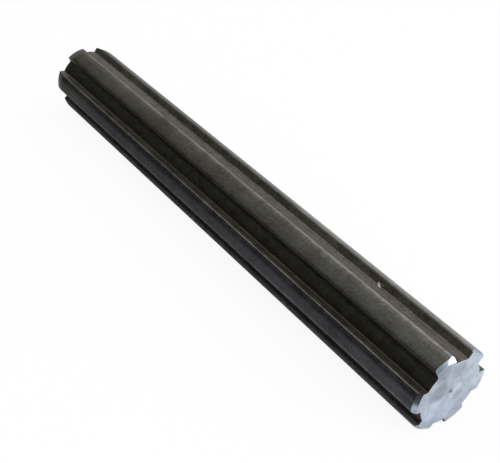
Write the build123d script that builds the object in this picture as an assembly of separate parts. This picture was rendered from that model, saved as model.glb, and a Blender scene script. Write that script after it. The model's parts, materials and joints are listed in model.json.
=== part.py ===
from build123d import *
import os

# Splined shaft: one steel bar with straight-sided splines along its whole length.
# Millimetres. The shaft lies on two neighbouring splines, so a groove faces straight down.
# +X runs along the shaft, +Z is up, and the origin is on the axis at mid-length.

# Bar
shaft_length = 266.7
major_dia = 34.925          # over the spline lands
minor_dia = 28.0            # at the bottom of the grooves

# Splines
spline_count = 6
spline_width = 8.7          # between a spline's two parallel flanks
land_edge_radius = 0.9      # rounding where a flank meets the land
root_fillet = 0.6           # fillet where a flank meets the groove bottom

# Turned ends
end_chamfer = 1.5           # at the +X end, along the shaft and across it, so 45 degrees
lead_in_length = 5.0        # at the -X end, the long shallow chamfer, along the shaft
lead_in_depth = 1.1         # and what it takes off the radius at the face
centre_mark_dia = 1.9       # mouth of the small dimple at the middle of each end face
centre_mark_depth = 0.8

# Followed sizes
major_radius = major_dia / 2
minor_radius = minor_dia / 2
spline_height = major_radius - minor_radius
half_length = shaft_length / 2
first_spline_angle = -90 + 180 / spline_count

# A rounding takes at most this share of the flank's height
rounding_share = 0.35
most_rounding = rounding_share * spline_height


def turned_blank():
    """The bar as it leaves the lathe: major diameter, an eased edge at each end, dimpled faces."""
    mark_radius = centre_mark_dia / 2
    # the half of its outline above the axis, from the +X end to the -X end
    half_outline = [
        (half_length - centre_mark_depth, 0),
        (half_length, mark_radius),
        (half_length, major_radius - end_chamfer),
        (half_length - end_chamfer, major_radius),
        (lead_in_length - half_length, major_radius),
        (-half_length, major_radius - lead_in_depth),
        (-half_length, mark_radius),
        (centre_mark_depth - half_length, 0),
    ]
    return revolve(make_face(Polyline(*half_outline, close=True)), axis=Axis.X)


def spline_section():
    """Cross-section: the core circle, the splines on it, and the rounding of their corners."""
    spline = Pos(major_radius / 2, 0) * Rectangle(major_radius, spline_width)
    splines = PolarLocations(0, spline_count, start_angle=first_spline_angle) * spline
    section = Circle(minor_radius) + splines
    section &= Circle(major_radius)

    def corners(sketch, outer):
        halfway = (major_radius + minor_radius) / 2
        return [v for v in sketch.vertices() if (Vector(v).length > halfway) == outer]

    section = fillet(corners(section, outer=True), min(land_edge_radius, most_rounding))
    return fillet(corners(section, outer=False), min(root_fillet, most_rounding))


def splined_shaft():
    """The splined bar, trimmed to the turned blank so that both ends keep their eased edges."""
    bar = extrude(Plane.YZ * spline_section(), amount=half_length, both=True)
    return bar & turned_blank()


shaft = splined_shaft()
shaft.label = "splined_shaft"
os.makedirs("parts", exist_ok=True)
export_step(shaft, "parts/splined_shaft.step")
print("splined_shaft", round(shaft.volume, 1), "mm3", shaft.bounding_box().size)
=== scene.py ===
import json
import math
import random

import bmesh
import bpy
from mathutils import Matrix, Vector, noise


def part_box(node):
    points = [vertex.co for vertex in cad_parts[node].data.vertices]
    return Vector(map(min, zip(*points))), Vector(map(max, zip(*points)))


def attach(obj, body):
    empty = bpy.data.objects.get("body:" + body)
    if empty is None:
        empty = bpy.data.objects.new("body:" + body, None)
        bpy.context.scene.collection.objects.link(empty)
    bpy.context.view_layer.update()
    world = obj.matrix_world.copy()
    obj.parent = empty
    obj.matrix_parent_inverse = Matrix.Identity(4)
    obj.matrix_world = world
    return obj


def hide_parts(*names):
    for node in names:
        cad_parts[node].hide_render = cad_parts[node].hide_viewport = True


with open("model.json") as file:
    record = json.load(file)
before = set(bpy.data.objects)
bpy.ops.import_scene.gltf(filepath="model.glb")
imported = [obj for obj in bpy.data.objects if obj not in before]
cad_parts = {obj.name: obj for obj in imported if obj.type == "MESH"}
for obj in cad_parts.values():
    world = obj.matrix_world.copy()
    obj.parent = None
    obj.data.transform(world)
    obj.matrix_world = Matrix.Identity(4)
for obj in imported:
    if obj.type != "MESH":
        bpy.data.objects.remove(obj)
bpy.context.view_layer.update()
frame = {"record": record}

# sizes that come from the frame, in metres
mm = 0.001
splineMount = next(m for m in frame["record"]["mounts"] if m["name"] == "spline")
lowCorner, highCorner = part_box("splined_shaft")
halfLength = highCorner.x
majorRadius = min(splineMount["dims"]["r_mm"] * mm, highCorner.y)
floorHeight = lowCorner.z

shaftForm = {
    "splines": 6,
    "firstSpline": math.radians(-60),   # round the shaft from +Y towards +Z
    "minorRadius": 14.0 * mm,
    "splineWidth": 8.7 * mm,
    "landEdge": 0.9 * mm,               # rounding between land and flank
    "rootFillet": 0.6 * mm,
    "chamfer": 1.5 * mm,                # at the +X end, where it is deepest
    "chamferLeast": 0.45,               # and the share of it that is cut opposite
    "chamferDeepest": math.radians(195),
    "leadLength": 5.0 * mm,             # the long shallow chamfer at the -X end
    "leadDepth": 1.1 * mm,
    "edgeBreak": 0.05 * mm,             # softness of the turned corners
    "softSpan": 6,                      # the close stations run this many edge breaks further in
    "landSteps": 7, "edgeSteps": 7, "flankSteps": 3, "filletSteps": 4, "grooveSteps": 4,
    "landCrowding": 1.6,                # crowds the land's points towards its edge
    "wornReach": 1.3 * mm,              # how far the rubbed strip with its painted highlight runs in over the land
    # how strongly the first and the second edge of each spline are rubbed and painted with a
    # highlight
    "wornSides": {-1: (1.0,) * 6, 1: (0.22, 0.22, 0.22, 0.05, 1.3, 0.22)},
    "cutFrom": 0.02 * mm,               # a place counts as cut when more than this is gone
    "brightFrom": 0.03 * mm,            # and as bright at +X when more than this is gone
    "lengthStep": 1.6 * mm,
    "chamferSteps": 14,
    "leadSteps": 10,
    "joinWithin": 0.001 * mm,           # points nearer than this become one
    "sharpFrom": math.radians(30),      # steeper corners than this aren't smoothed over
}

# a spline corner that was knocked flat at the bright end: how far the flat runs along the
# shaft, across the land and down the flank
flattened = {"spline": 3, "side": -1, "along": 1.45 * mm, "across": 4.9 * mm, "down": 2.65 * mm,
             "steps": 4}

endFace = {
    "rings": 40,
    "circle": 0.95,                     # share of the minor radius where the rings become round
    "roundAfter": 0.24,                 # and the share of the rings that it takes
    "sunk": 0.015 * mm,                 # how far the face lies inside the end plane
    "markRadius": 0.95 * mm,            # the small dimple left in the middle
    "markDepth": 0.8 * mm,
    "markRings": 4,
    "toolRipple": 0.004 * mm,           # height of the facing tool's rings
    # their width, strength and place in the noise
    "ripples": [(0.9 * mm, 1.0, (0.3, 7.1)), (0.42 * mm, 0.5, (4.4, 1.9))],
    "steps": [(4.3, 0.012), (5.75, -0.014)],    # radius and height of the two rings that show, mm
    "stepWidth": 0.35 * mm,
    "rimWidth": 0.55 * mm,
}

# a small chip at the foot of one flank, with a rusty spot beside it
nick = {
    "place": (87.9 * mm, 3.0 * mm, 14.1 * mm),
    "reach": (1.8 * mm, 0.50 * mm, 1.4 * mm),   # half its length, width and height
    "turn": math.radians(-22),
    "depth": 0.20 * mm,
    "least": 0.0001 * mm,               # shallower than this is left out
    "rough": 0.5,                       # how uneven it is, and how wide the unevenness
    "roughWidth": 0.4 * mm,
    "step": 0.18 * mm,                  # between the stations along it
    "margin": 2.2,                      # and how many times its reach they cover
    "rustPlace": (89.0 * mm, 3.4 * mm, 14.6 * mm),
    "rustReach": (1.5 * mm, 0.8 * mm, 0.9 * mm),
}

# how dark the painted reflection on the chamfer is on each spline, at its first and at its
# second edge, and where it passes from one to the other, in shares of the width
chamferDarkReflection = {
    "splines": {0: (0.8, 0.8), 1: (0.6, 0.6), 2: (0.5, 0.4),
                3: (0.0, 0.30), 4: (0.95, 0.1), 5: (0.20, 0.0)},
    "from": -0.10,
    "over": 0.36,
}

dings = {
    "seed": 11,
    "perEdge": 7,
    "depth": (0.01 * mm, 0.04 * mm),
    "length": (1.2 * mm, 4.0 * mm),
    "inward": 0.4,                      # share of its depth that also narrows the spline
}


def sideOfSpline():
    # Outline from the middle of a land to the middle of the next groove: out, across, and how far
    # it is on the rounded edge, on the groove bottom and in the rubbed, highlight-painted strip.
    f = shaftForm
    halfWidth = f["splineWidth"] / 2
    edge, fillet, root = f["landEdge"], f["rootFillet"], f["minorRadius"]
    edgeAcross = halfWidth - edge
    edgeOut = math.sqrt((majorRadius - edge) ** 2 - edgeAcross ** 2)
    landEnd = math.atan2(edgeAcross, edgeOut)
    filletAcross = halfWidth + fillet
    filletOut = math.sqrt((root + fillet) ** 2 - filletAcross ** 2)
    grooveStart = math.atan2(filletAcross, filletOut)
    grooveMiddle = math.pi / f["splines"]
    side = []
    for i in range(f["landSteps"]):
        a = landEnd * (1 - (1 - i / f["landSteps"]) ** f["landCrowding"])
        worn = max(0.0, 1 - (landEnd - a) * majorRadius / f["wornReach"])
        side.append((majorRadius * math.cos(a), majorRadius * math.sin(a), 0.0, 0.0, worn))
    for i in range(f["edgeSteps"] + 1):
        share = i / f["edgeSteps"]
        a = landEnd + (math.pi / 2 - landEnd) * share
        side.append((edgeOut + edge * math.cos(a), edgeAcross + edge * math.sin(a),
                     math.sin(math.pi * share), 0.0, 1 - share ** 3))
    for i in range(1, f["flankSteps"]):
        out = edgeOut + (filletOut - edgeOut) * i / f["flankSteps"]
        side.append((out, halfWidth, 0.0, 0.0, 0.0))
    for i in range(f["filletSteps"] + 1):
        share = i / f["filletSteps"]
        a = -math.pi / 2 - (math.pi / 2 - grooveStart) * share
        side.append((filletOut + fillet * math.cos(a), filletAcross + fillet * math.sin(a),
                     0.0, share, 0.0))
    for i in range(1, f["grooveSteps"] + 1):
        a = grooveStart + (grooveMiddle - grooveStart) * i / f["grooveSteps"]
        side.append((root * math.cos(a), root * math.sin(a), 0.0, 1.0, 0.0))
    return side


def shaftOutline():
    # The whole outline, once round: spline number, out, across, edge, groove, and rubbed and
    # painted-highlight weights.
    side = sideOfSpline()
    outline = []
    for k in range(shaftForm["splines"]):
        for sign, points in ((-1, reversed(side[1:-1])), (1, side)):
            rubAndHighlight = shaftForm["wornSides"][sign][k]
            for out, across, edge, groove, worn in points:
                outline.append((k, out, sign * across, edge, groove, worn * rubAndHighlight))
    return outline


def splineAngle(k):
    return shaftForm["firstSpline"] + k * 2 * math.pi / shaftForm["splines"]


def turned(k, out, across, limit):
    # A point of the outline, brought in to the turned radius where it stands proud of it.
    if math.hypot(out, across) > limit:
        out = math.sqrt(limit ** 2 - across ** 2)
    a = splineAngle(k)
    return (out * math.cos(a) - across * math.sin(a), out * math.sin(a) + across * math.cos(a))


def knockedRadius(k, across, x):
    # The radius that is left under the flat of the knocked corner.
    if k != flattened["spline"]:
        return majorRadius
    halfWidth = shaftForm["splineWidth"] / 2
    cornerOut = math.sqrt(majorRadius ** 2 - halfWidth ** 2)
    alongShare = (halfLength - x) / flattened["along"]
    acrossShare = (halfWidth - flattened["side"] * across) / flattened["across"]
    left = cornerOut - flattened["down"] * (1 - alongShare - acrossShare)
    return min(majorRadius, math.hypot(left, across))


def softRamp(x, soft):
    # Nothing below 0 and x above it, with a soft bend between them.
    return (x + math.sqrt(x * x + soft * soft)) / 2


def chamferShare(k, out, across):
    # The chamfer was cut a little off centre: the share of its full size at this place.
    a = splineAngle(k) + math.atan2(across, out)
    swing = (1 - shaftForm["chamferLeast"]) / 2
    return 1 - swing + swing * math.cos(a - shaftForm["chamferDeepest"])


def turnedRadius(x, share):
    # The turned radius at this place along the shaft: a chamfer at +X, a long lead-in at -X.
    soft = shaftForm["edgeBreak"]
    chamfer = softRamp(x - (halfLength - shaftForm["chamfer"] * share), soft)
    lead = softRamp(-x - (halfLength - shaftForm["leadLength"]), soft)
    return majorRadius - chamfer - lead * shaftForm["leadDepth"] / shaftForm["leadLength"]


def closeReach(size):
    # How far in from an end the close stations run.
    return size + shaftForm["softSpan"] * shaftForm["edgeBreak"]


def lengthStations():
    # Places along the shaft, from the -X face to the +X face.
    soft = shaftForm["edgeBreak"]
    ends = []
    for sign, size, steps in ((1, shaftForm["chamfer"], shaftForm["chamferSteps"]),
                              (-1, shaftForm["leadLength"], shaftForm["leadSteps"])):
        span = closeReach(size) - soft
        ends.append([sign * (halfLength - soft - span * i / steps) for i in range(steps + 1)])
    high, low = min(ends[0]), max(ends[1])
    count = round((high - low) / shaftForm["lengthStep"])
    places = {low + (high - low) * i / count for i in range(1, count)}
    x, reach = nick["place"][0], nick["margin"] * nick["reach"][0]
    places = {p for p in places if abs(p - x) > reach}
    fine = round(2 * reach / nick["step"])
    places |= {x - reach + 2 * reach * i / fine for i in range(fine + 1)}
    x = halfLength - flattened["along"]
    places |= {x + (high - x) * i / flattened["steps"] for i in range(flattened["steps"])}
    return sorted(places | set(ends[0]) | set(ends[1]))


def makeDings():
    # Small knocks along the spline edges: (spline, side, place, depth, length).
    rng = random.Random(dings["seed"])
    found = []
    for k in range(shaftForm["splines"]):
        for side in (-1, 1):
            for _ in range(dings["perEdge"]):
                place = rng.uniform(-halfLength, halfLength)
                depth = rng.uniform(*dings["depth"]) * rng.random()
                found.append((k, side, place, depth, rng.uniform(*dings["length"])))
    return found


def faceHeight(radius):
    # Rings that the facing tool leaves, as a height above the plane of the end face.
    ripple = 0.0
    for width, strength, place in endFace["ripples"]:
        ripple += strength * noise.noise(Vector((radius / width, *place)))
    height = endFace["toolRipple"] * ripple
    for ringRadius, ringHeight in endFace["steps"]:
        away = (radius - ringRadius * mm) / endFace["stepWidth"]
        height += ringHeight * mm * math.exp(-away ** 2)
    return height


def nickDepth(p):
    # How deep the chip is at this place.
    x, y, z = (p[i] - nick["place"][i] for i in range(3))
    cosTurn, sinTurn = math.cos(nick["turn"]), math.sin(nick["turn"])
    along = (x * cosTurn + y * sinTurn) / nick["reach"][0]
    across = (y * cosTurn - x * sinTurn) / nick["reach"][1]
    up = z / nick["reach"][2]
    rough = 1 + nick["rough"] * noise.noise(Vector(p) / nick["roughWidth"])
    return nick["depth"] * rough * math.exp(-(along ** 4) - across ** 2 - up ** 2)


def tarnishAt(k, across):
    # How dark the painted reflection on the chamfer is here, from the first edge of the spline
    # over to the second.
    first, second = chamferDarkReflection["splines"][k]
    share = (across / shaftForm["splineWidth"] - chamferDarkReflection["from"]) / chamferDarkReflection["over"]
    share = min(1.0, max(0.0, share))
    return first + (second - first) * share * share * (3 - 2 * share)


def sidePoint(station, point, knocks):
    # One point on the side of the bar: its place, how much it is rubbed and painted with an edge
    # highlight, on the lead-in and under the painted dark reflection, and whether it is cut
    # bright.
    k, out, across, edge, _, rubAndHighlight = point
    full = math.hypot(out, across)
    share = chamferShare(k, out, across)
    x = station
    if halfLength - x < closeReach(shaftForm["chamfer"]):
        x = halfLength - (halfLength - x) * share
    turnedOff = full - turnedRadius(x, share)
    knockedOff = full - knockedRadius(k, across, x)
    drop = max(turnedOff, knockedOff)
    knock = 0.0
    if edge:
        for dk, side, place, depth, length in knocks:
            if dk == k and side * across > 0:
                knock += edge * depth * math.exp(-((x - place) / length) ** 2)
    lowest = max(full - max(drop, 0.0), shaftForm["minorRadius"])
    inward = math.copysign(dings["inward"] * knock, across)
    y, z = turned(k, out - knock, across - inward, lowest)
    dent = nickDepth((x, y, z))
    if dent > nick["least"]:
        shrink = 1 - dent / math.hypot(y, z)
        y, z = y * shrink, z * shrink
    worn = rubAndHighlight if drop < shaftForm["cutFrom"] else 0.0
    lead = 1.0 if x < 0 and drop > shaftForm["cutFrom"] else 0.0
    tarnish = tarnishAt(k, across) if turnedOff > knockedOff else 0.0
    cut = x > 0 and drop > shaftForm["brightFrom"]
    return (x, y, z), worn, lead, tarnish, cut


def facePoint(sign, ring, point):
    # One point of this ring of an end face: its place, and how near the rim it is.
    k, out, across = point[:3]
    limit = majorRadius - shaftForm["leadDepth"]
    if sign > 0:
        limit = majorRadius - shaftForm["chamfer"] * chamferShare(k, out, across)
        limit = min(limit, knockedRadius(k, across, halfLength))
    y, z = turned(k, out, across, max(limit, shaftForm["minorRadius"]))
    full = math.hypot(y, z)
    rimRadius = full - shaftForm["edgeBreak"]
    circle = endFace["circle"] * shaftForm["minorRadius"]
    share, after = ring / endFace["rings"], endFace["roundAfter"]
    if share <= 1:
        start = rimRadius + (circle - rimRadius) * min(1.0, share / after)
        inner = max(0.0, (share - after) / (1 - after))
        radius = start + (endFace["markRadius"] - start) * inner
        depth = -faceHeight(radius)
    else:
        down = (ring - endFace["rings"]) / endFace["markRings"]
        radius = endFace["markRadius"] * (1 - down)
        depth = endFace["markDepth"] * down
    nearRim = max(0.0, 1 - (rimRadius - radius) / endFace["rimWidth"])
    x = sign * (halfLength - max(0.0, depth + endFace["sunk"]))
    return (x, y / full * radius, z / full * radius), nearRim


def shaftMesh():
    outline = shaftOutline()
    around = len(outline)
    grooveWeights = [point[4] for point in outline]
    knocks = makeDings()
    verts, faces, bright = [], [], []
    weights = {"worn": [], "grooveBottom": [], "leadIn": [], "tarnish": [], "faceRim": []}

    def addRing(points, **given):
        start = len(verts)
        verts.extend(points)
        for name, values in weights.items():
            values.extend(given.get(name, [0.0] * around))
        return start

    def joinRings(first, second, isBright):
        for i in range(around):
            j = (i + 1) % around
            faces.append((first + i, first + j, second + j, second + i))
            bright.append(isBright(i, j))

    # the sides, ring by ring; what the chamfer or the knock has cut at +X is bright
    sideRings = []
    for station in lengthStations():
        made = [sidePoint(station, point, knocks) for point in outline]
        points, worn, leads, tarnish, cut = zip(*made)
        ring = addRing(points, worn=worn, grooveBottom=grooveWeights, leadIn=leads,
                       tarnish=tarnish)
        if sideRings:
            joinRings(sideRings[-1], ring, lambda i, j: cut[i] and cut[j])
        sideRings.append(ring)

    # the two end faces: from the outline in to a circle, then down the dimple
    for sign, ringBefore in ((-1, sideRings[0]), (1, sideRings[-1])):
        for i in range(endFace["rings"] + 1 + endFace["markRings"]):
            points, rims = zip(*(facePoint(sign, i, point) for point in outline))
            ring = addRing(points, faceRim=rims)
            pair = (ringBefore, ring) if sign > 0 else (ring, ringBefore)
            joinRings(*pair, lambda i, j: True)
            ringBefore = ring

    mesh = bpy.data.meshes.new("splined_bar")
    mesh.from_pydata(verts, [], faces)
    for name, values in weights.items():
        mesh.attributes.new(name, "FLOAT", "POINT").data.foreach_set("value", values)
    mesh.polygons.foreach_set("material_index", [int(b) for b in bright])

    # the chamfer brings some points together, and so does the bottom of each dimple
    joined = bmesh.new()
    joined.from_mesh(mesh)
    bmesh.ops.remove_doubles(joined, verts=joined.verts, dist=shaftForm["joinWithin"])
    joined.to_mesh(mesh)
    joined.free()
    mesh.polygons.foreach_set("use_smooth", [True] * len(mesh.polygons))
    mesh.set_sharp_from_angle(angle=shaftForm["sharpFrom"])
    mesh.update()
    return mesh


# small helpers for the node trees
class Nodes:
    def __init__(self, name):
        self.material = bpy.data.materials.new(name)
        self.material.use_nodes = True
        self.tree = self.material.node_tree
        self.shader = self.tree.nodes["Principled BSDF"]

    def add(self, kind, **settings):
        node = self.tree.nodes.new(kind)
        for key, value in settings.items():
            setattr(node, key, value)
        return node

    def link(self, source, target):
        self.tree.links.new(source, target)

    def value(self, socket, x):
        if isinstance(x, (int, float)):
            socket.default_value = x
        else:
            self.link(x, socket)

    def weight(self, name):
        return self.add("ShaderNodeAttribute", attribute_name=name).outputs["Fac"]

    def objectCoords(self):
        # The object's own coordinates, whole and one by one, and the distance from its axis.
        coords = self.add("ShaderNodeTexCoord").outputs["Object"]
        split = self.add("ShaderNodeSeparateXYZ")
        self.link(coords, split.inputs[0])
        x, y, z = split.outputs
        radius = self.math("SQRT", self.plus(self.times(y, y), self.times(z, z)))
        return coords, {"x": x, "y": y, "z": z, "radius": radius}

    def math(self, operation, a, b=0.0):
        node = self.add("ShaderNodeMath", operation=operation)
        for socket, x in zip(node.inputs, (a, b)):
            self.value(socket, x)
        return node.outputs[0]

    def plus(self, total, *others):
        for x in others:
            total = self.math("ADD", total, x)
        return total

    def times(self, total, *others):
        for x in others:
            total = self.math("MULTIPLY", total, x)
        return total

    def swing(self, pattern, much):
        # A noise pattern as a change up and down from nothing.
        return self.times(self.math("SUBTRACT", pattern, 0.5), much)

    def toneWhere(self, shade, tone, where):
        # The shade times the tone where the weight is 1, and unchanged where it is 0.
        change = self.times(self.math("SUBTRACT", tone, 1.0), where)
        return self.times(shade, self.plus(change, 1.0))

    def noiseAt(self, coords, scale, detail=3.0, roughness=0.5, stretch=None):
        if stretch is not None:
            mapping = self.add("ShaderNodeMapping")
            mapping.inputs["Scale"].default_value = stretch
            self.link(coords, mapping.inputs["Vector"])
            coords = mapping.outputs[0]
        node = self.add("ShaderNodeTexNoise")
        node.inputs["Scale"].default_value = scale
        node.inputs["Detail"].default_value = detail
        node.inputs["Roughness"].default_value = roughness
        self.link(coords, node.inputs["Vector"])
        return node.outputs["Fac"]

    def spot(self, coords, place, reach, turn=0.0, ragged=0.0, core=0.45, raggedScale=1500.0):
        # A soft spot: 1 in its core, 0 beyond its reach.
        local = self.add("ShaderNodeMapping", vector_type="TEXTURE")
        for name, v in (("Location", place), ("Rotation", (0.0, 0.0, turn)), ("Scale", reach)):
            local.inputs[name].default_value = v
        self.link(coords, local.inputs["Vector"])
        length = self.add("ShaderNodeVectorMath", operation="LENGTH")
        self.link(local.outputs[0], length.inputs[0])
        far = length.outputs["Value"]
        if ragged:
            far = self.plus(far, self.swing(self.noiseAt(coords, raggedScale, 2.0), ragged))
        return self.remap(far, core, 1.0, 1.0, 0.0)

    def remap(self, x, low, high, newLow=0.0, newHigh=1.0):
        node = self.add("ShaderNodeMapRange")
        node.interpolation_type = "SMOOTHSTEP"
        self.value(node.inputs["Value"], x)
        limits = {"From Min": low, "From Max": high, "To Min": newLow, "To Max": newHigh}
        for name, v in limits.items():
            node.inputs[name].default_value = v
        return node.outputs[0]

    def mix(self, factor, a, b, blend="MIX"):
        node = self.add("ShaderNodeMix", data_type="RGBA", blend_type=blend)
        self.value(node.inputs[0], factor)
        for socket, x in ((node.inputs[6], a), (node.inputs[7], b)):
            if isinstance(x, tuple):
                socket.default_value = (*x, 1.0)
            else:
                self.link(x, socket)
        return node.outputs[2]

    def toned(self, colour, shade):
        # The colour made lighter or darker by a plain factor.
        tone = self.add("ShaderNodeCombineColor")
        for socket in tone.inputs:
            self.value(socket, shade)
        return self.mix(1.0, colour, tone.outputs[0], "MULTIPLY")

    def bump(self, height, strength, distance, normal=None):
        node = self.add("ShaderNodeBump")
        node.inputs["Strength"].default_value = strength
        node.inputs["Distance"].default_value = distance
        self.link(height, node.inputs["Height"])
        if normal is not None:
            self.link(normal, node.inputs["Normal"])
        return node.outputs[0]


darkSteel = {
    "land": (0.071, 0.064, 0.053),
    "landOlive": (0.059, 0.057, 0.044),
    # painted shade: the lands on the near side are darker and bluer, darker still low down
    "shadedSideLand": (0.060, 0.059, 0.066),
    "shadedLowLand": (0.047, 0.046, 0.052),
    "brightEndTint": (1.01, 1.06, 1.17),    # upper lands are less brown towards the bright end
    # painted sheen: the lands at the back are lighter and greyer
    "farLandSheen": (0.074, 0.077, 0.074),       # the lands at the back of the bar
    "flank": (0.092, 0.085, 0.070),
    # painted light: the flanks on the near side are lighter
    "litSideFlank": (0.135, 0.124, 0.104),
    # painted light and shade: the groove bottom on top is lighter, the one on the near side
    # darker; low down it is purplish
    "litUpperGroove": (0.150, 0.131, 0.119),
    "shadedSideGroove": (0.110, 0.108, 0.086),
    "lowGroove": (0.112, 0.099, 0.114),
    # brown in the root corners: a brown tint and a painted shade
    "fillet": (0.062, 0.044, 0.032),
    "grime": (0.085, 0.068, 0.052),
    "rust": (0.12, 0.050, 0.022),
    # painted highlight along the rubbed edges, and a darker copy of it for the lower edges:
    # painted shade
    "wornEdge": (0.138, 0.130, 0.119),
    "wornLow": (0.094, 0.096, 0.108),
    "lead": (0.060, 0.047, 0.041),
    "chip": (0.62, 0.56, 0.50),
    "chipRust": (0.125, 0.068, 0.040),
    # painted reflection: a lighter narrow band low down on the near side
    "lowGleamBand": (0.098, 0.098, 0.104),       # the narrow band low down on the near side
    "grazing": (0.72, 0.74, 0.72),
    # the patterns: scale, detail, roughness and how each is stretched
    "patterns": {
        "blotches": (230.0, 5.0, 0.62),
        "broad": (26.0, 2.0, 0.5),
        "clouds": (85.0, 3.0, 0.55),
        "feedMarks": (1.0, 3.0, 0.6, (1500.0, 60.0, 60.0)),
        "drawLines": (1.0, 3.0, 0.6, (7.0, 900.0, 900.0)),
        "grain": (900.0, 3.0, 0.65),
        "wander": (320.0, 4.0, 0.6),
        "scuffing": (45.0, 2.0, 0.5),
    },
    # how much each of them lightens and darkens the steel, and the lands besides
    "shading": {"feedMarks": 0.45, "grain": 1.50, "blotches": 1.10, "broad": 0.40,
                "drawLines": 0.35},
    "landClouds": 1.15,
    # from where to where a pattern counts, and the weights there
    "cutOffs": {
        "olive": ("blotches", 0.38, 0.62),
        "grime": ("drawLines", 0.48, 0.72, 0.0, 0.5),
        "rootBrown": ("broad", 0.40, 0.60),
        "rustLines": ("drawLines", 0.60, 0.78),
        "scuffed": ("scuffing", 0.55, 0.72, 0.0, 0.30),
    },
    # areas and tones of the bar: along which axis each changes, from where to where, and its
    # values there
    "areas": {
        "upper": ("z", 8 * mm, 13.5 * mm, 0, 1),
        "onLand": ("radius", majorRadius - 0.8 * mm, majorRadius - 0.3 * mm, 0, 1),
        "nearSide": ("y", -14 * mm, -11 * mm, 1, 0),
        "belowTop": ("z", 5 * mm, 8 * mm, 1, 0),
        "sideHeight": ("z", -3.5 * mm, 2.5 * mm, 0, 1),
        # the painted shade on the near side fades out towards the far end
        "shadedSideLength": ("x", -halfLength, -80 * mm, 0.35, 1),
        "tintLength": ("x", -60 * mm, 110 * mm, 0, 1),
        "tintHeight": ("z", 5 * mm, 8 * mm, 0, 1),
        # painted sheen on the lands at the back, growing strongly towards +X
        "farLandSheen": ("y", 4.0 * mm, 6.2 * mm, 0, 1),
        "farLandSheenTone": ("x", -halfLength, halfLength, 0.90, 1.70),
        # painted light and shade across the upper lands, darker at -Y and lighter towards +Y
        "upperLand": ("z", 6 * mm, 10 * mm, 0, 1),
        "upperLandLight": ("y", -8.4 * mm, -6.2 * mm, 0.86, 1.24),
        # painted shade on the side land just below its edge
        "shadeUnderEdge": ("z", 1.5 * mm, 2.8 * mm, 0, 1),
        "edgeAbove": ("z", 3.3 * mm, 3.9 * mm, 1, 0),
        # painted light across the upper groove bottom, lighter towards +Y
        "topGrooveLight": ("y", -1.5 * mm, 3.0 * mm, 0.70, 1.34),
        "lowGroove": ("z", -5 * mm, -3 * mm, 1, 0),
        "filletAbove": ("z", 6 * mm, 8 * mm, 1, 0.15),
        "filletBelow": ("z", -5 * mm, -3 * mm, 0.45, 1),
        "rootFrom": ("z", 3 * mm, 4 * mm, 0, 1),
        "rootTo": ("z", 4.8 * mm, 6.2 * mm, 0.5, 0),
        "rustLength": ("x", -110 * mm, 20 * mm, 0.60, 0.25),
        # the lower edges take the darker copy of the edge highlight: painted shade
        "wornHeight": ("z", -2 * mm, 2 * mm, 0, 1),
        "lowBandTop": ("z", -11.3 * mm, -10.7 * mm, 1, 0),
        "lowBandSide": ("y", -9 * mm, -8 * mm, 1, 0),
    },
    "lengthLight": (0.82, 1.32),         # painted light: the lands are lighter towards the bright end
    "underEdgeShade": 0.72,              # painted shade: the side land is darker just below its rubbed edge
    "filletStrength": 2.2,
    "wander": 1.1,                      # how unevenly the rubbed and highlit edges run
    "rubAndHighlight": (0.35, 0.85),             # from where and to where a rubbed and highlit place turns light
    "rubAndHighlightFade": 0.1,                    # below this weight the rub and its highlight fade out
    # rubbed places beside the upper edge: x, y, z and half the length in mm, how much
    "scuffs": [(66.2, -7.0, 15.9, 2.2, 0.40), (71.6, -7.0, 15.9, 1.6, 0.34),
               (79.9, -8.0, 15.4, 2.6, 0.22), (58.0, -6.2, 16.2, 3.5, 0.25),
               (-22.0, -6.4, 16.2, 5.0, 0.20), (22.0, -6.0, 16.3, 4.0, 0.18)],
    "scuffReach": 1.7 * mm,
    "ragged": {"scuff": 0.9, "chip": 0.5, "rust": 0.6},
    "landRoughness": 0.42,
    "grooveRoughness": 0.52,
    "roughnessSwing": 0.20,
    # share of dull film low down, on the upper side, on the low band and on chip and rust
    "film": {"low": 0.03, "upper": 0.27, "lowGleamBand": 0.35, "chip": 0.8},
    # the fine relief: strength and height of each pattern
    "relief": {"feedMarks": (0.25, 0.02 * mm), "drawLines": (0.20, 0.02 * mm),
               "grain": (0.30, 0.012 * mm)},
}


def steelLand(m, area, cutOff, onSide):
    # Colour of the lands and the flanks, with painted shade on the near side's lands, painted
    # light on its flanks and a painted sheen at the back, before the rest of the shading.
    s = darkSteel
    land = m.mix(cutOff["olive"], s["land"], s["landOlive"])
    # painted shade on the near side's lands
    side = m.mix(area["sideHeight"], s["shadedLowLand"], s["shadedSideLand"])
    land = m.mix(m.times(onSide, area["shadedSideLength"]), land, side)
    tinted = m.mix(1.0, land, s["brightEndTint"], "MULTIPLY")
    land = m.mix(m.times(area["tintLength"], area["tintHeight"]), land, tinted)
    # painted sheen on the lands at the back
    land = m.mix(area["farLandSheen"], land, s["farLandSheen"])
    # the flanks, with painted light on the near side's
    return m.mix(area["onLand"], m.mix(onSide, s["flank"], s["litSideFlank"]), land)


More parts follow.
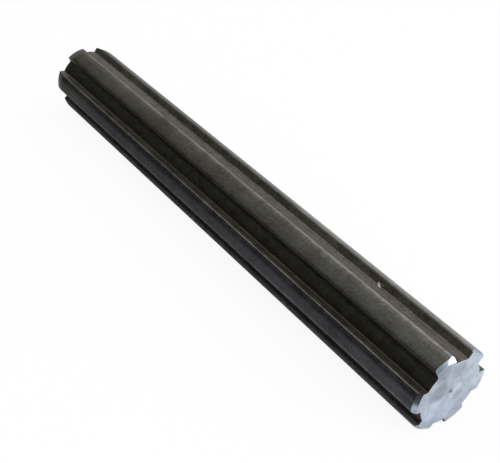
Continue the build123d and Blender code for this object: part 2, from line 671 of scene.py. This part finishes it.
def steelLandShade(m, coords, along, area, pattern, shade, onSide):
    # How light or dark the lands are: painted light along the bar and across the upper lands, a
    # painted sheen at the back, painted shade below the side land's edge, and the scuffs on them.
    s = darkSteel
    # painted light along the bar, lighter towards the bright end
    low, high = s["lengthLight"]
    lengthLight = m.plus(m.times(along["x"], (high - low) / (2 * halfLength)), (low + high) / 2)
    # where the painted shade below the side land's edge falls
    shadeUnderEdge = m.times(area["shadeUnderEdge"], area["edgeAbove"], onSide)
    shade = m.plus(shade, m.swing(pattern["clouds"], s["landClouds"]))
    shade = m.toneWhere(shade, lengthLight, area["onLand"])
    # painted light and shade across the upper lands
    shade = m.toneWhere(shade, area["upperLandLight"], area["upperLand"])
    # the painted sheen at the back, lighter towards +X
    shade = m.toneWhere(shade, area["farLandSheenTone"], m.times(area["farLandSheen"], area["onLand"]))
    shade = m.toneWhere(shade, s["underEdgeShade"], shadeUnderEdge)
    for x, y, z, halfLong, much in s["scuffs"]:
        reach = (halfLong * mm, s["scuffReach"], s["scuffReach"])
        there = m.spot(coords, (x * mm, y * mm, z * mm), reach, 0.0, s["ragged"]["scuff"])
        shade = m.plus(shade, m.times(there, much))
    return shade


def steelGroove(m, area, cutOff, shade):
    # Colour of the groove bottoms, with painted light and shade by where they lie.
    s = darkSteel
    floor = m.mix(area["upper"], s["shadedSideGroove"], s["litUpperGroove"])
    floor = m.mix(area["lowGroove"], floor, s["lowGroove"])
    floor = m.mix(cutOff["grime"], floor, s["grime"])
    return m.toned(floor, m.toneWhere(shade, area["topGrooveLight"], area["upper"]))


def darkSteelMaterial():
    s = darkSteel
    m = Nodes("dark_drawn_steel")
    coords, along = m.objectCoords()
    groove = m.weight("grooveBottom")
    edge = m.weight("worn")
    lead = m.weight("leadIn")
    pattern = {name: m.noiseAt(coords, *form) for name, form in s["patterns"].items()}
    cutOff = {name: m.remap(pattern[of], *limits) for name, (of, *limits) in s["cutOffs"].items()}
    area = {name: m.remap(along[axis], *limits) for name, (axis, *limits) in s["areas"].items()}
    onSide = m.times(area["nearSide"], area["belowTop"])

    # lands, flanks and groove bottoms
    shade = m.plus(1.0, *(m.swing(pattern[name], much) for name, much in s["shading"].items()))
    landShade = steelLandShade(m, coords, along, area, pattern, shade, onSide)
    land = m.toned(steelLand(m, area, cutOff, onSide), landShade)
    colour = m.mix(groove, land, steelGroove(m, area, cutOff, shade))

    # brown roots, darker in the root corners as a painted shade, and rust lines in the grooves
    inFillet = m.times(groove, m.math("SUBTRACT", 1.0, groove), s["filletStrength"])
    inFillet = m.times(inFillet, area["filletAbove"])
    nearRoot = m.times(area["rootFrom"], area["rootTo"], groove, cutOff["rootBrown"])
    inFillet = m.times(m.math("MAXIMUM", inFillet, nearRoot), area["filletBelow"])
    colour = m.mix(inFillet, colour, s["fillet"])
    colour = m.mix(m.times(groove, cutOff["rustLines"], area["rustLength"]), colour, s["rust"])

    # rubbed edges with a painted highlight, the lead-in, the low band of painted reflection and
    # the chip
    worn = m.plus(edge, m.swing(pattern["wander"], s["wander"]), cutOff["scuffed"])
    worn = m.times(m.remap(worn, *s["rubAndHighlight"]), m.remap(edge, 0.0, s["rubAndHighlightFade"]))
    wornColour = m.mix(area["wornHeight"], s["wornLow"], s["wornEdge"])
    colour = m.mix(worn, colour, m.toned(wornColour, landShade))
    colour = m.mix(lead, colour, m.toned(s["lead"], shade))
    # painted reflection of the floor in a narrow band low down on the near side
    lowGleamBand = m.times(area["lowBandTop"], area["lowBandSide"])
    colour = m.mix(lowGleamBand, colour, m.toned(s["lowGleamBand"], landShade))
    chip = m.spot(coords, nick["place"], nick["reach"], nick["turn"], s["ragged"]["chip"])
    rusty = m.spot(coords, nick["rustPlace"], nick["rustReach"], 0.0, s["ragged"]["rust"])
    colour = m.mix(rusty, colour, s["chipRust"])
    colour = m.mix(chip, colour, s["chip"])
    m.link(colour, m.shader.inputs["Base Color"])

    rough = m.times(groove, s["grooveRoughness"] - s["landRoughness"])
    rough = m.plus(rough, s["landRoughness"], m.swing(pattern["blotches"], s["roughnessSwing"]))
    m.link(rough, m.shader.inputs["Roughness"])
    dull = s["film"]
    film = m.plus(m.times(area["upper"], dull["upper"] - dull["low"]), dull["low"])
    film = m.math("MAXIMUM", film, m.times(lowGleamBand, dull["lowGleamBand"]))
    film = m.math("MAXIMUM", film, m.times(m.math("MAXIMUM", rusty, chip), dull["chip"]))
    m.link(m.math("SUBTRACT", 1.0, film), m.shader.inputs["Metallic"])
    m.shader.inputs["Specular Tint"].default_value = (*s["grazing"], 1.0)
    normal = None
    for name, (strength, height) in s["relief"].items():
        normal = m.bump(pattern[name], strength, height, normal)
    m.link(normal, m.shader.inputs["Normal"])
    return m.material


cutSteel = {
    "face": (0.475, 0.535, 0.64),
    "dull": (0.355, 0.400, 0.475),
    # painted shade inside the dimple
    "dimpleShade": (0.28, 0.31, 0.36),
    # painted highlight along the rim of the face
    "rimGleam": (0.52, 0.62, 0.62),
    # the painted dark reflection on the chamfers
    "tarnish": (0.035, 0.050, 0.052),
    "patches": (260.0, 4.0, 0.6),       # scale, detail and roughness
    "toolRings": (1.0, 3.0, 0.6),
    "ringsPerMetre": 2400.0,
    # from where to where each pattern or the rim counts, and the weights there
    "dullPatches": (0.35, 0.7, 0.0, 1.0),
    "dullRings": (0.42, 0.66, 0.0, 0.25),
    "rimFrom": (0.0, 0.8, 0.0, 1.0),
    "rimPatches": (0.35, 0.6, 0.0, 0.6),
    "tarnishPatches": (0.2, 0.5, 0.8, 1.0),
    "markEdge": (0.85, 1.05),           # shares of the dimple's radius
    "roughness": 0.34,
    "roughnessSwing": 0.2,
    "markRoughness": 0.35,              # added in the dimple
    "relief": (0.3, 0.02 * mm),
    # lighter and darker places on the face, partly uneven finish and partly painted reflection: y
    # and z in mm, reach in mm, how much
    "places": [(2.8, 1.6, 2.6, 0.20), (1.6, -1.4, 2.2, 0.16), (4.8, -2.8, 3.0, -0.20),
               (-6.5, 2.0, 6.0, -0.30), (-7.0, -6.5, 6.0, 0.26), (14.0, 3.5, 6.0, 0.12),
               (-8.5, 11.0, 5.5, -0.34), (11.0, -7.0, 5.0, -0.10), (8.0, 12.5, 5.0, 0.08),
               (0.0, 9.5, 5.0, -0.20), (1.0, -9.5, 5.0, 0.14), (-0.6, 0.6, 1.7, -0.30)],
}


def cutSteelMaterial():
    c = cutSteel
    m = Nodes("bright_cut_steel")
    coords, along = m.objectCoords()
    ringCoords = m.add("ShaderNodeCombineXYZ")
    m.link(m.times(along["radius"], c["ringsPerMetre"]), ringCoords.inputs[0])
    toolRings = m.noiseAt(ringCoords.outputs[0], *c["toolRings"])
    patches = m.noiseAt(coords, *c["patches"])
    colour = m.mix(m.remap(patches, *c["dullPatches"]), c["face"], c["dull"])
    colour = m.mix(m.remap(toolRings, *c["dullRings"]), colour, c["dull"])
    shade = 1.0
    # lighter and darker places on the face, partly painted reflection
    for placeY, placeZ, reach, much in c["places"]:
        place = (halfLength, placeY * mm, placeZ * mm)
        shade = m.plus(m.times(m.spot(coords, place, (reach * mm,) * 3), much), shade)
    colour = m.toned(colour, shade)
    # a painted highlight in patches along the rim of the face
    onRim = m.remap(m.weight("faceRim"), *c["rimFrom"])
    onRim = m.times(onRim, m.remap(patches, *c["rimPatches"]))
    colour = m.mix(onRim, colour, c["rimGleam"])
    # the dimple is painted darker: painted shade in the recess
    inside, outside = (share * endFace["markRadius"] for share in c["markEdge"])
    inMark = m.remap(along["radius"], inside, outside, 1.0, 0.0)
    colour = m.mix(inMark, colour, c["dimpleShade"])
    # a painted dark reflection on parts of the chamfers, in patches
    tarnished = m.times(m.weight("tarnish"), m.remap(patches, *c["tarnishPatches"]))
    colour = m.mix(tarnished, colour, c["tarnish"])
    m.link(colour, m.shader.inputs["Base Color"])
    rough = m.plus(c["roughness"], m.swing(patches, c["roughnessSwing"]))
    rough = m.plus(rough, m.times(inMark, c["markRoughness"]))
    m.link(rough, m.shader.inputs["Roughness"])
    m.shader.inputs["Metallic"].default_value = 1.0
    m.link(m.bump(toolRings, *c["relief"]), m.shader.inputs["Normal"])
    return m.material


def makeShaft():
    shaft = bpy.data.objects.new("splined_bar", shaftMesh())
    bpy.context.scene.collection.objects.link(shaft)
    shaft.data.materials.append(darkSteelMaterial())
    shaft.data.materials.append(cutSteelMaterial())
    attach(shaft, "root")
    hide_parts("splined_shaft")
    print("shaft:", len(shaft.data.polygons), "faces")


studio = {
    "floorColour": (0.90, 0.90, 0.90),
    "floorGlow": 0.92,                  # share of the floor that is plain white to the camera
    "mirroredGlow": 0.10,               # and in the steel's sheen
    "floorSize": 12.0,
    "worldLevel": 1.0,
    "keyPower": 5.0, "keySize": 0.50, "keyPlace": (0.85, 0.68, 0.37),
    # the dark wall, and the sheets of painted shadow seen only in the steel's sheen
    "blackWallAndShadow": (0.006, 0.006, 0.006),
    "contactShadowGrey": (0.05, 0.05, 0.05),
    "wallPlace": (-1.4, -0.9, 0.76), "wallSize": (5.6, 1.56),
    # the black sheet of painted floor shadow on the near side
    "floorShadowEdges": (-0.047, -0.9),       # its near and far edge, across the shaft
    "shadowSheetsAbove": 0.6 * mm,             # over the floor
    "contactShadowEdges": (-0.017, 0.015),      # the grey sheet of painted contact shadow right under the shaft
    "underShort": 10 * mm,              # it stops short of the bright end
}


def addPlane(name, size, place, material, turn=(0.0, 0.0, 0.0)):
    sx, sy = size[0] / 2, size[1] / 2
    mesh = bpy.data.meshes.new(name)
    mesh.from_pydata([(-sx, -sy, 0), (sx, -sy, 0), (sx, sy, 0), (-sx, sy, 0)], [], [(0, 1, 2, 3)])
    mesh.materials.append(material)
    plane = bpy.data.objects.new(name, mesh)
    plane.location, plane.rotation_euler = place, turn
    bpy.context.scene.collection.objects.link(plane)
    return plane


def plainMatte(name, colour):
    m = Nodes(name)
    m.shader.inputs["Base Color"].default_value = (*colour, 1.0)
    m.shader.inputs["Roughness"].default_value = 1.0
    m.shader.inputs["Specular IOR Level"].default_value = 0.0
    return m


def makeFloor():
    m = plainMatte("pale_floor", studio["floorColour"])
    path = m.add("ShaderNodeLightPath").outputs
    glow = m.add("ShaderNodeEmission")
    mirrored = m.math("MAXIMUM", path["Is Glossy Ray"], path["Is Transmission Ray"])
    share = m.math("MAXIMUM", m.times(path["Is Camera Ray"], studio["floorGlow"]),
                   m.times(mirrored, studio["mirroredGlow"]))
    blend = m.add("ShaderNodeMixShader")
    m.link(share, blend.inputs[0])
    m.link(m.shader.outputs[0], blend.inputs[1])
    m.link(glow.outputs[0], blend.inputs[2])
    m.link(blend.outputs[0], m.tree.nodes["Material Output"].inputs["Surface"])
    addPlane("floor", (studio["floorSize"],) * 2, (0, 0, floorHeight), m.material)


def makeDarkCards():
    # A dark wall on the near side, and two sheets of painted shadow on the floor: a black one on
    # the near side and a grey one under the shaft. Only the steel's sheen shows them.
    wallAndShadowMaterial = plainMatte("black_wall_and_shadow", studio["blackWallAndShadow"]).material
    contactShadowMaterial = plainMatte("contact_shadow_grey", studio["contactShadowGrey"]).material
    wallPlace, wallSize = studio["wallPlace"], studio["wallSize"]
    cards = [addPlane("dark_wall", wallSize, wallPlace, wallAndShadowMaterial, (math.pi / 2, 0, 0))]
    short = studio["underShort"]
    for name, (near, far), middle, length, shadowSheetMaterial in (
            ("near_floor_shadow_sheet", studio["floorShadowEdges"], wallPlace[0], wallSize[0], wallAndShadowMaterial),
            ("contact_shadow_sheet", studio["contactShadowEdges"], -short / 2, 2 * halfLength - short, contactShadowMaterial)):
        place = (middle, (near + far) / 2, floorHeight + studio["shadowSheetsAbove"])
        cards.append(addPlane(name, (length, abs(far - near)), place, shadowSheetMaterial))
    for card in cards:
        card.visible_camera = False
        card.visible_diffuse = False
        card.visible_shadow = False


def makeLight():
    world = bpy.data.worlds.new("studio")
    bpy.context.scene.world = world
    world.use_nodes = True
    background = world.node_tree.nodes["Background"]
    background.inputs["Color"].default_value = (1.0, 1.0, 1.0, 1.0)
    background.inputs["Strength"].default_value = studio["worldLevel"]

    key = bpy.data.lights.new("key", "AREA")
    key.energy, key.size = studio["keyPower"], studio["keySize"]
    keyLamp = bpy.data.objects.new("key", key)
    keyLamp.location = studio["keyPlace"]
    aim = Vector((halfLength, 0, 0)) - Vector(studio["keyPlace"])
    keyLamp.rotation_euler = aim.to_track_quat("-Z", "Y").to_euler()
    bpy.context.scene.collection.objects.link(keyLamp)


cameraSetup = {
    "place": (0.2645, -0.2331, 0.1961),
    "aim": (0.0117, 0.0043, -0.0094),
    "roll": math.radians(12.92),
    "lens": 66.38,
    "sensor": 36.0,
    "clip": (0.01, 50.0),
}


def makeCamera():
    data = bpy.data.cameras.new("camera")
    data.lens, data.sensor_width = cameraSetup["lens"], cameraSetup["sensor"]
    data.clip_start, data.clip_end = cameraSetup["clip"]
    camera = bpy.data.objects.new("camera", data)
    place = Vector(cameraSetup["place"])
    look = (Vector(cameraSetup["aim"]) - place).to_track_quat("-Z", "Y")
    camera.matrix_world = (Matrix.Translation(place) @ look.to_matrix().to_4x4()
                           @ Matrix.Rotation(cameraSetup["roll"], 4, "Z"))
    bpy.context.scene.collection.objects.link(camera)
    bpy.context.scene.camera = camera
    print("camera ready")


makeShaft()
makeFloor()
makeDarkCards()
makeLight()
print("studio ready")
makeCamera()
bpy.context.scene.view_settings.view_transform = "Standard"
